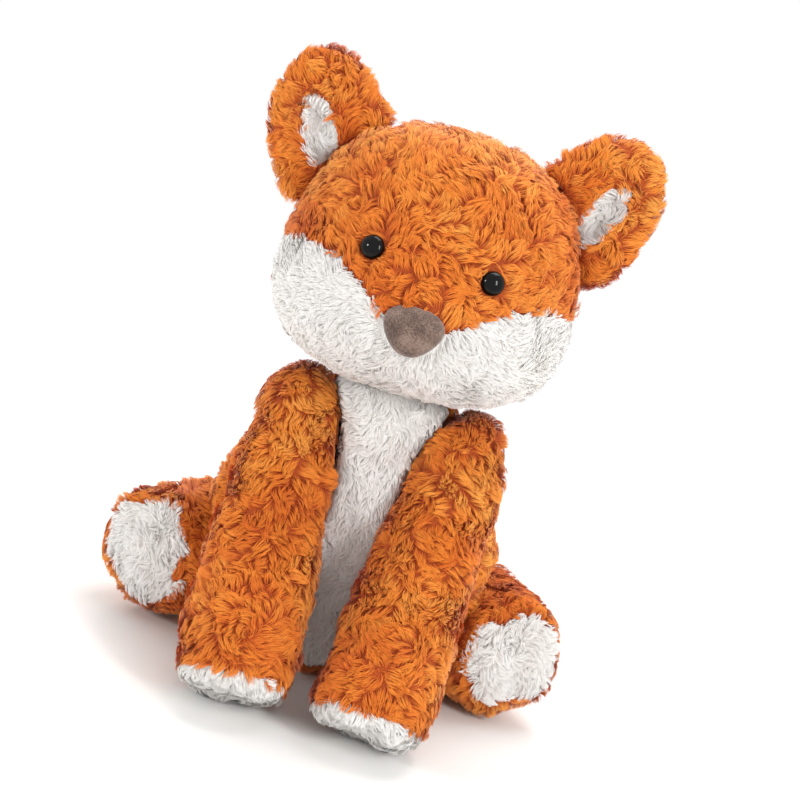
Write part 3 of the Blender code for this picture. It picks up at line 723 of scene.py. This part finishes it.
def cloth_panel(name, form, surface, panel, look):
    """The part of a stuffed form that one packed panel covers, as cloth with a thickness."""
    shape = bmesh.new()
    shape.from_mesh(form.data)
    shape.faces.ensure_lookup_table()
    wanted = surface.panels.index(panel)
    mine = surface.panel == wanted
    spare = [f for f in shape.faces if sum(mine[v.index] for v in f.verts) * 2 < len(f.verts)]
    bmesh.ops.delete(shape, geom=spare, context="FACES")
    mesh = bpy.data.meshes.new(name)
    shape.to_mesh(mesh)
    shape.free()
    made = bpy.data.objects.new(name, mesh)
    bpy.context.scene.collection.objects.link(made)
    wall = made.modifiers.new("wall", "SOLIDIFY")
    wall.thickness = 1.2 * MM
    wall.offset = -1
    apply_all(made)
    smooth_shaded(made)
    made.data.materials.append(look)
    return made


def dressed(
    body,
    name,
    panels,
    filling,
    voxel,
    lie,
    seed,
    keep=None,
    painted_light=None,
    dent=0.0,
    second=by_distance,
):
    """Cloth and pile for one stuffed form. Panels give node, piece and orange or white."""
    nodes = [panel for panel, _, _ in panels]
    form = stuffed(name + "_form", [*nodes, filling], voxel)
    dented(form, dent, seed)
    surface = Surface(form, body, nodes, second)
    shared = looks()
    sizes = bpy.context.scene.fox_sizes
    for index, (panel, piece, colour) in enumerate(panels):
        cloth = cloth_panel(piece + "_cloth", form, surface, panel, shared[colour + " backing"])
        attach(cloth, body)
        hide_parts(panel)
        growth = growth_of(sizes, colour)
        strands = grown(
            surface, surface.of_panel(panel), lie, growth, seed + 10 * index, keep, painted_light
        )
        lay_pile(piece + "_pile", body, strands, shared[colour])
    bpy.data.objects.remove(form)


def growth_of(sizes, colour):
    if colour == "orange":
        return Growth(
            sizes.orange_length,
            sizes.orange_height,
            sizes.orange_lock,
            sizes.orange_tuft,
            sizes.fibre_width,
            ORANGE_DENSITY,
            unruly=1.1,
            curl=0.9 * MM,
            gather=0.55,
        )
    return Growth(
        sizes.white_length,
        sizes.white_height,
        sizes.white_lock,
        sizes.white_tuft,
        sizes.fibre_width,
        WHITE_DENSITY,
        unruly=0.8,
        curl=0.45 * MM,
        gather=0.28,
    )


def eye_axis(side):
    """Middle and outward axis of an eye, from its packed shank and dome."""
    points = np.array([v.co for v in frame["nodes"]["eye_" + side].data.vertices])
    middle = points.mean(axis=0)
    deep = points[np.argsort(points[:, 1])[-SHANK_CORNERS:]].mean(axis=0)
    out = unit(middle - deep)
    tip = middle + out * ((points - middle) @ out).max()
    return tip - out * EYE_DOME, out


def off_the_face(points):
    """Fibres that leave the eyes free and don't grow from under the nose."""
    free = np.ones(len(points), dtype=bool)
    for side, _ in SIDES:
        middle, out = eye_axis(side)
        from_eye = points - middle
        depth = from_eye @ out
        away = np.linalg.norm(from_eye - depth[..., None] * out, axis=-1)
        inside = (away < EYE_FREE) & (depth > -6 * MM) & (depth < 20 * MM)
        free &= ~inside.any(axis=1)
    low, high = (np.array(c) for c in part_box("nose"))
    middle, half = (low + high) / 2, (high - low) / 2
    x = (points[:, :, 0] - middle[0]) / (half[0] - 0.5 * MM)
    z = (points[:, :, 2] - middle[2]) / (half[2] - 0.5 * MM)
    front = points[:, :, 1] < middle[1] + 12 * MM
    over = (x**2 + z**2 < 1) & front & (z < 0.72)
    return free & ~over.any(axis=1)


def lie_head(points, normals):
    """Out from the bridge of the nose and away from the eyes, and down behind."""
    out = unit(points - np.array(NOSE_BRIDGE))
    back = np.clip((points[:, 1:2] + 0.01) / 0.05, 0, 1)
    way = out * (1 - back) + np.array([0, 0, -1]) * back
    for side, _ in SIDES:
        middle, _ = eye_axis(side)
        from_eye = points - middle
        gap = np.linalg.norm(from_eye, axis=1, keepdims=True)
        way = way + unit(from_eye) * 2.2 * np.exp(-((gap / (10 * MM)) ** 4))
    return way


def crown_painted_lit(points):
    """Painted light: the pile on top of the head is painted lighter than the brow, as if lit more
    from above.
    """
    return 0.22 * np.clip((points[:, 2] - 0.262) / 0.03, -0.4, 1)


def lie_body(points, normals):
    """Down, and a little out from the middle."""
    return np.stack([points[:, 0] * 4, points[:, 1] * 0, np.full(len(points), -1.0)], axis=1)


def lie_front_leg(sign):
    swirl, way = mirrored(PAW_SWIRL, sign), mirrored(LEG_WAY, sign)

    def lie(points, normals):
        """Down the leg, and out from a whorl on top of the paw."""
        out = points - swirl
        share = np.exp(-((np.linalg.norm(out, axis=1, keepdims=True) / (30 * MM)) ** 4))
        return unit(out) * share * 1.6 + way * (1 - share)

    return lie


def lie_hind_leg(sign):
    hip, sole = mirrored(HIP, sign), mirrored(SOLE_MIDDLE, sign)
    way = unit(sole - hip)

    def lie(points, normals):
        """From the hip to the foot, and out from the middle of the sole."""
        end = np.clip(normals @ way, 0, 1)[:, None]
        return way * (1 - end) + unit(points - sole) * end + np.array([0, 0, -0.35])

    return lie


def lie_ear(sign):
    seam, way = mirrored(EAR_SEAM, sign), mirrored(EAR_WAY, sign)
    lining = "ear_lining_left" if sign > 0 else "ear_lining_right"
    edge = tree_of([lining])
    low, high = (np.array(corner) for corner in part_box(lining))
    cup = (low + high) / 2

    def lie(points, normals):
        """From the seam to the rim of the ear, and over the edge of its lining."""
        over = np.clip(1.2 - distances(points, edge) / (4 * MM), 0, 0.8)[:, None]
        return unit(points - seam + way * 8 * MM) * (1 - over) + unit(cup - points) * over

    return lie


def lie_tail(points, normals):
    """Along the tail, and together over its tip."""
    return unit(np.array(TAIL_END) - points)


class FoxSizes(bpy.types.PropertyGroup):
    orange_length: bpy.props.FloatProperty(
        name="Orange pile length",
        description="How far an orange fibre reaches along the cloth",
        default=5.8 * MM,
        unit="LENGTH",
    )
    orange_height: bpy.props.FloatProperty(
        name="Orange pile height",
        description="How high the orange pile stands off its cloth",
        default=3.6 * MM,
        unit="LENGTH",
    )
    orange_lock: bpy.props.FloatProperty(
        name="Orange lock",
        description="Distance between locks of the orange pile",
        default=6.0 * MM,
        unit="LENGTH",
    )
    orange_tuft: bpy.props.FloatProperty(
        name="Orange tuft",
        description="Distance between the tufts within a lock of orange pile",
        default=2.0 * MM,
        unit="LENGTH",
    )
    white_length: bpy.props.FloatProperty(
        name="White pile length",
        description="How far a white fibre reaches along the cloth",
        default=4.6 * MM,
        unit="LENGTH",
    )
    white_height: bpy.props.FloatProperty(
        name="White pile height",
        description="How high the white pile stands off its cloth",
        default=2.6 * MM,
        unit="LENGTH",
    )
    white_lock: bpy.props.FloatProperty(
        name="White lock",
        description="Distance between locks of the white pile",
        default=5.5 * MM,
        unit="LENGTH",
    )
    white_tuft: bpy.props.FloatProperty(
        name="White tuft",
        description="Distance between the tufts within a lock of white pile",
        default=2.0 * MM,
        unit="LENGTH",
    )
    fibre_width: bpy.props.FloatProperty(
        name="Fibre width",
        description="Width of one drawn fibre, which stands for several real ones",
        default=0.35 * MM,
        unit="LENGTH",
    )


def colour_property(name, description, text):
    return bpy.props.FloatVectorProperty(
        name=name,
        description=description,
        default=linear(text)[:3],
        subtype="COLOR",
        size=3,
        min=0,
        max=1,
    )


class FoxColours(bpy.types.PropertyGroup):
    # The colours at the roots are painted shade, darker near the cloth for the shadow deep in the
    # pile.
    orange_root: colour_property("Orange root", "Orange pile at its roots", "#C24C16")
    orange_deep: colour_property("Orange deep", "The deepest orange fibres", "#E06B1D")
    orange_middle: colour_property("Orange", "Most of the orange fibres", "#F68F2C")
    orange_light: colour_property("Orange light", "The palest orange fibres", "#FFB34E")
    white_root: colour_property("White root", "White pile at its roots", "#F1EDE9")
    white_deep: colour_property("White deep", "The greyest white fibres", "#F1EEEA")
    white_middle: colour_property("White", "Most of the white fibres", "#F7F5F2")
    white_light: colour_property("White light", "The palest white fibres", "#FCFBFA")


class FOX_OT_head(bpy.types.Operator):
    """Cloth and pile of the head"""

    bl_idname = "fox.head"
    bl_label = "Head"

    def execute(self, context):
        panels = (
            ("crown_panel", "crown", "orange"),
            ("cheek_panel", "cheek", "white"),
        )
        filling = "head_stuffing"
        dressed(
            "head",
            "head",
            panels,
            filling,
            2.9 * MM,
            lie_head,
            11,
            off_the_face,
            crown_painted_lit,
            0.8 * MM,
        )
        return {"FINISHED"}


class FOX_OT_body(bpy.types.Operator):
    """Cloth and pile of the back and the bib"""

    bl_idname = "fox.body"
    bl_label = "Body"

    def execute(self, context):
        panels = (("back_panel", "back", "orange"), ("bib_panel", "bib", "white"))
        dressed(
            "body",
            "torso",
            panels,
            "body_stuffing",
            3.2 * MM,
            lie_body,
            31,
            dent=2.2 * MM,
            second=on_the_bib,
        )
        return {"FINISHED"}


class FOX_OT_ears(bpy.types.Operator):
    """Padded ears with their white linings"""

    bl_idname = "fox.ears"
    bl_label = "Ears"

    def execute(self, context):
        for side, sign in SIDES:
            ear = "ear_" + side
            panels = (
                (ear, ear, "orange"),
                ("ear_lining_" + side, "ear_lining_" + side, "white"),
            )
            dressed(
                ear, ear, panels, ear, 1.8 * MM, lie_ear(sign), 51 + sign, second=inside_ear
            )
        return {"FINISHED"}


class FOX_OT_front_legs(bpy.types.Operator):
    """Front legs with their white soles"""

    bl_idname = "fox.front_legs"
    bl_label = "Front legs"

    def execute(self, context):
        for side, sign in SIDES:
            leg = "front_leg_" + side
            panels = ((leg + "_sleeve", leg, "orange"), (leg + "_sole", leg + "_sole", "white"))
            filling = leg + "_stuffing"
            dressed(
                leg,
                leg,
                panels,
                filling,
                2.6 * MM,
                lie_front_leg(sign),
                71 + sign,
                dent=2.6 * MM,
            )
        return {"FINISHED"}


class FOX_OT_hind_legs(bpy.types.Operator):
    """Hind legs with their white soles"""

    bl_idname = "fox.hind_legs"
    bl_label = "Hind legs"

    def execute(self, context):
        for side, sign in SIDES:
            leg = "hind_leg_" + side
            panels = ((leg + "_sleeve", leg, "orange"), (leg + "_sole", leg + "_sole", "white"))
            filling = leg + "_stuffing"
            dressed(
                leg,
                leg,
                panels,
                filling,
                2.6 * MM,
                lie_hind_leg(sign),
                91 + sign,
                dent=2.2 * MM,
            )
        return {"FINISHED"}


class FOX_OT_tail(bpy.types.Operator):
    """Tail with its white tip"""

    bl_idname = "fox.tail"
    bl_label = "Tail"

    def execute(self, context):
        panels = (("tail_sleeve", "tail", "orange"), ("tail_tip", "tail_tip", "white"))
        dressed("tail", "tail", panels, "tail_stuffing", 2.6 * MM, lie_tail, 111, dent=1.6 * MM)
        return {"FINISHED"}


class FOX_OT_eyes(bpy.types.Operator):
    """Domed eyes, each with its rim and shank"""

    bl_idname = "fox.eyes"
    bl_label = "Eyes"

    def execute(self, context):
        look = eye_look()
        for side, _ in SIDES:
            middle, out = eye_axis(side)
            nothing_selected()
            bpy.ops.mesh.primitive_uv_sphere_add(segments=48, ring_count=32, radius=EYE_RADIUS)
            eye = bpy.context.object
            eye.name = "eye_" + side + "_dome"
            bpy.ops.object.mode_set(mode="EDIT")
            bpy.ops.mesh.bisect(
                plane_co=(0, 0, -0.4 * MM), plane_no=(0, 0, 1), use_fill=True, clear_inner=True
            )
            bpy.ops.mesh.select_all(action="SELECT")
            bpy.ops.transform.resize(value=(1, 1, EYE_DOME / EYE_RADIUS))
            bpy.ops.mesh.select_mode(type="FACE")
            bpy.ops.mesh.select_all(action="DESELECT")
            bpy.ops.object.mode_set(mode="OBJECT")
            for polygon in eye.data.polygons:
                polygon.select = polygon.normal.z < -0.99 and len(polygon.vertices) > 4
            bpy.ops.object.mode_set(mode="EDIT")
            bpy.ops.mesh.inset(thickness=4.4 * MM)
            bpy.ops.mesh.extrude_region_move(
                TRANSFORM_OT_translate={"value": (0, 0, -9 * MM)}
            )
            bpy.ops.object.mode_set(mode="OBJECT")
            rim = eye.modifiers.new("rim", "BEVEL")
            rim.width = 0.25 * MM
            rim.segments = 2
            rim.limit_method = "ANGLE"
            apply_all(eye)
            smooth_shaded(eye)
            turn = Vector(out).to_track_quat("Z", "Y").to_matrix().to_4x4()
            eye.data.transform(Matrix.Translation(Vector(middle)) @ turn)
            eye.data.materials.append(look)
            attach(eye, "head")
            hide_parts("eye_" + side)
        return {"FINISHED"}


class FOX_OT_nose(bpy.types.Operator):
    """Suede nose pad"""

    bl_idname = "fox.nose"
    bl_label = "Nose"

    def execute(self, context):
        nose = stuffed("nose_pad", ["nose"], 0.8 * MM, 4)
        nose.data.materials.append(suede_look())
        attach(nose, "head")
        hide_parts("nose")
        return {"FINISHED"}


class FOX_OT_filling(bpy.types.Operator):
    """Filling inside the cloth, and the finish of the washers behind the eyes"""

    bl_idname = "fox.filling"
    bl_label = "Filling"

    def execute(self, context):
        fibre, plastic = filling_look(), washer_look()
        for body, nodes in frame["record"]["behaviour"]["bodies"].items():
            for name in (n for n in nodes if n.endswith("_stuffing")):
                wad = stuffed(name.replace("stuffing", "filling"), [name], FILLING_VOXEL)
                push = wad.modifiers.new("push", "DISPLACE")
                push.mid_level = 0
                push.strength = -FILLING_DEPTH
                apply_all(wad)
                wad.data.materials.append(fibre)
                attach(wad, body)
                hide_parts(name)
        for side, _ in SIDES:
            washer = frame["nodes"]["eye_washer_" + side]
            washer.data.materials.clear()
            washer.data.materials.append(plastic)
        return {"FINISHED"}


def lamp(name, place, width, height, power):
    made = bpy.data.objects.new(name, bpy.data.lights.new(name, "AREA"))
    made.data.shape = "RECTANGLE"
    made.data.size = width
    made.data.size_y = height
    made.data.energy = power
    made.location = place
    aim = LAMP_AIM - Vector(place)
    made.rotation_euler = aim.to_track_quat("-Z", "Y").to_euler()
    bpy.context.scene.collection.objects.link(made)


def camera():
    made = bpy.data.objects.new("camera", bpy.data.cameras.new("camera"))
    bpy.context.scene.collection.objects.link(made)
    back = Matrix.Rotation(-CAMERA_RISE, 3, "X") @ Vector((0, -1, 0))
    made.location = AIM + back * CAMERA_DISTANCE
    turn = (-back).to_track_quat("-Z", "Y").to_matrix().to_4x4()
    roll = Matrix.Rotation(CAMERA_ROLL, 4, "Z")
    made.rotation_euler = (turn @ roll).to_euler()
    made.data.lens = LENS_MM
    made.data.sensor_width = SENSOR_MM
    bpy.context.scene.camera = made


def seen_directly(tree):
    """1 for rays that show a surface itself: to the camera, in gloss and through glass."""
    ray = node(tree, "ShaderNodeLightPath")
    glossy = node(tree, "ShaderNodeMath", {"operation": "MAXIMUM"})
    tree.links.new(ray.outputs["Is Camera Ray"], glossy.inputs[0])
    tree.links.new(ray.outputs["Is Glossy Ray"], glossy.inputs[1])
    clear = node(tree, "ShaderNodeMath", {"operation": "MAXIMUM"})
    tree.links.new(glossy.outputs[0], clear.inputs[0])
    tree.links.new(ray.outputs["Is Transmission Ray"], clear.inputs[1])
    return clear.outputs[0]


def paper_look():
    """Matt white paper: it keeps the shadow near the fox and runs out into white."""
    made, tree, shader = new_material("matt white paper")
    shader.inputs["Base Color"].default_value = linear("#F6F5F3")
    shader.inputs["Roughness"].default_value = 0.9
    place = node(tree, "ShaderNodeTexCoord")
    far = node(
        tree, "ShaderNodeVectorMath", {"operation": "LENGTH"}, Vector=place.outputs["Object"]
    )
    fade = node(
        tree,
        "ShaderNodeMapRange",
        {"interpolation_type": "SMOOTHSTEP", "From Min": PAPER_NEAR, "From Max": PAPER_FAR},
        Value=far.outputs["Value"],
    )
    share = node(tree, "ShaderNodeMath", {"operation": "MULTIPLY"})
    tree.links.new(fade.outputs["Result"], share.inputs[0])
    tree.links.new(seen_directly(tree), share.inputs[1])
    white = node(tree, "ShaderNodeEmission", {"Color": (1, 1, 1, 1), "Strength": 1.0})
    both = node(tree, "ShaderNodeMixShader", Fac=share.outputs[0])
    tree.links.new(shader.outputs[0], both.inputs[1])
    tree.links.new(white.outputs[0], both.inputs[2])
    tree.links.new(both.outputs[0], tree.nodes["Material Output"].inputs["Surface"])
    return made


class FOX_OT_stage(bpy.types.Operator):
    """Paper floor, soft lamps and the camera"""

    bl_idname = "fox.stage"
    bl_label = "Stage"

    def execute(self, context):
        camera()
        context.scene.view_settings.view_transform = "Standard"
        world = bpy.data.worlds.new("studio")
        context.scene.world = world
        world.use_nodes = True
        tree = world.node_tree
        seen = node(tree, "ShaderNodeMix", {"data_type": "FLOAT"}, Factor=seen_directly(tree))
        seen.inputs[2].default_value = STUDIO_GLOW
        seen.inputs[3].default_value = 1.0
        tree.links.new(seen.outputs[0], tree.nodes["Background"].inputs["Strength"])
        tree.nodes["Background"].inputs["Color"].default_value = (1, 1, 1, 1)
        for settings in LAMPS:
            lamp(*settings)
        nothing_selected()
        bpy.ops.mesh.primitive_plane_add(size=FLOOR_SIZE, location=(0, 0, 0))
        floor = context.object
        floor.name = "floor"
        floor.data.materials.append(paper_look())
        return {"FINISHED"}


OPERATORS = (
    FOX_OT_head,
    FOX_OT_body,
    FOX_OT_ears,
    FOX_OT_front_legs,
    FOX_OT_hind_legs,
    FOX_OT_tail,
    FOX_OT_eyes,
    FOX_OT_nose,
    FOX_OT_filling,
    FOX_OT_stage,
)


class FOX_PT_dressing(bpy.types.Panel):
    bl_idname = "FOX_PT_dressing"
    bl_label = "Plush fox"
    bl_space_type = "VIEW_3D"
    bl_region_type = "UI"
    bl_category = "Plush fox"

    def draw(self, context):
        for group in (context.scene.fox_sizes, context.scene.fox_colours):
            for name in group.__annotations__:
                self.layout.prop(group, name)
        for operator in OPERATORS:
            self.layout.operator(operator.bl_idname)


CLASSES = (FoxSizes, FoxColours, *OPERATORS, FOX_PT_dressing)


def register():
    for made in CLASSES:
        bpy.utils.register_class(made)
    bpy.types.Scene.fox_sizes = bpy.props.PointerProperty(type=FoxSizes)
    bpy.types.Scene.fox_colours = bpy.props.PointerProperty(type=FoxColours)


def unregister():
    del bpy.types.Scene.fox_colours
    del bpy.types.Scene.fox_sizes
    for made in reversed(CLASSES):
        bpy.utils.unregister_class(made)


def main():
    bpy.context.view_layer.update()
    register()
    bpy.ops.fox.head()
    bpy.ops.fox.body()
    bpy.ops.fox.ears()
    bpy.ops.fox.front_legs()
    bpy.ops.fox.hind_legs()
    bpy.ops.fox.tail()
    bpy.ops.fox.eyes()
    bpy.ops.fox.nose()
    bpy.ops.fox.filling()
    bpy.ops.fox.stage()


if __name__ == "__main__":
    main()
